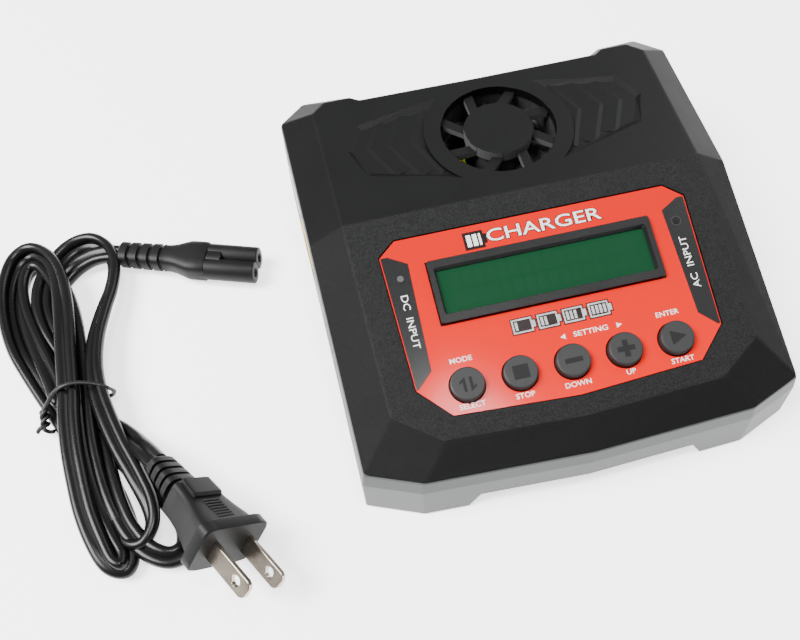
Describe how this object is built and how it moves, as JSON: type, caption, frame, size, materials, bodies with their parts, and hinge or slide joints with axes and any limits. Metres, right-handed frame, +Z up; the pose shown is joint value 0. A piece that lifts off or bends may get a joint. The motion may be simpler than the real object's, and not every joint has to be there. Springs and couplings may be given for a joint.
{
  "type": "balance battery charger",
  "caption": "Desktop balance charger for model batteries: faceted case with fan, display, press buttons, sockets and a loose tied power lead.",
  "frame": {"origin": "middle of the charger's footprint on the surface that it stands on", "axes": "+X to the charger's right seen from the front, +Y to its back, +Z up"},
  "size_m": [0.2461, 0.1624, 0.036],
  "materials": {
    "shell_black": "satin, finely grained",
    "base_grey": "satin",
    "label_red": "gloss film",
    "gloss_black": "gloss",
    "button_rubber": "matt",
    "display_green": "clear",
    "light_pipe": "clear",
    "circuit_board": "gloss",
    "ferrite": "matt",
    "winding_tape": "gloss tape",
    "aluminium": "satin",
    "plated_steel": "plated",
    "blade_metal": "polished",
    "capacitor_sleeve": "sleeved",
    "fan_plastic": "satin",
    "socket_yellow": "satin",
    "socket_white": "satin",
    "foot_rubber": "matt",
    "cord_pvc": "satin",
    "moulded_pvc": "satin"
  },
  "bodies": {
    "case": {"ac_inlet": "gloss_black", "balance_port_a": "socket_white", "balance_port_b": "socket_white", "board_standoff_1": "aluminium", "board_standoff_2": "aluminium", "board_standoff_3": "aluminium", "board_standoff_4": "aluminium", "bottom_shell": "base_grey", "bulk_capacitor": "capacitor_sleeve", "button_board": "circuit_board", "case_screw_1": "plated_steel", "case_screw_2": "plated_steel", "case_screw_3": "plated_steel", "case_screw_4": "plated_steel", "connector_plug": "moulded_pvc", "dc_input": "socket_yellow", "fan_frame": "fan_plastic", "heat_sink_a": "aluminium", "heat_sink_b": "aluminium", "lcd_bezel": "gloss_black", "lcd_glass": "display_green", "lcd_module": "plated_steel", "lead_hank": "cord_pvc", "lead_tail_connector": "cord_pvc", "lead_tail_plug": "cord_pvc", "lead_tie": "cord_pvc", "light_pipe_left": "light_pipe", "light_pipe_right": "light_pipe", "main_board": "circuit_board", "output_capacitor_a": "capacitor_sleeve", "output_capacitor_b": "capacitor_sleeve", "output_socket_a": "socket_yellow", "output_socket_b": "socket_yellow", "overlay_label": "label_red", "plug_blade_left": "blade_metal", "plug_blade_right": "blade_metal", "plug_body": "moulded_pvc", "rubber_foot_1": "foot_rubber", "rubber_foot_2": "foot_rubber", "rubber_foot_3": "foot_rubber", "rubber_foot_4": "foot_rubber", "switch_channel": "plated_steel", "switch_minus": "plated_steel", "switch_plus": "plated_steel", "switch_start": "plated_steel", "switch_stop": "plated_steel", "top_shell": "shell_black", "transformer_core": "ferrite", "transformer_winding": "winding_tape"},
    "fan": {"fan_rotor": "fan_plastic"},
    "key_channel": {"button_channel": "button_rubber"},
    "key_stop": {"button_stop": "button_rubber"},
    "key_minus": {"button_minus": "button_rubber"},
    "key_plus": {"button_plus": "button_rubber"},
    "key_start": {"button_start": "button_rubber"}
  },
  "joints": [
    {"name": "fan_spin", "type": "hinge", "parent": "case", "child": "fan", "pos_m": [0, 0.0385, 0.029], "axis": [0, 0, 1], "continuous": true},
    {"name": "press_channel", "type": "slide", "parent": "case", "child": "key_channel", "axis": [0, 0.2044, -0.9789], "range_m": [0, 0.0008], "stiffness_N_per_m": 400, "springref_m": -0.0005},
    {"name": "press_stop", "type": "slide", "parent": "case", "child": "key_stop", "axis": [0, 0.2044, -0.9789], "range_m": [0, 0.0008], "stiffness_N_per_m": 400, "springref_m": -0.0005},
    {"name": "press_minus", "type": "slide", "parent": "case", "child": "key_minus", "axis": [0, 0.2044, -0.9789], "range_m": [0, 0.0008], "stiffness_N_per_m": 400, "springref_m": -0.0005},
    {"name": "press_plus", "type": "slide", "parent": "case", "child": "key_plus", "axis": [0, 0.2044, -0.9789], "range_m": [0, 0.0008], "stiffness_N_per_m": 400, "springref_m": -0.0005},
    {"name": "press_start", "type": "slide", "parent": "case", "child": "key_start", "axis": [0, 0.2044, -0.9789], "range_m": [0, 0.0008], "stiffness_N_per_m": 400, "springref_m": -0.0005}
  ]
}
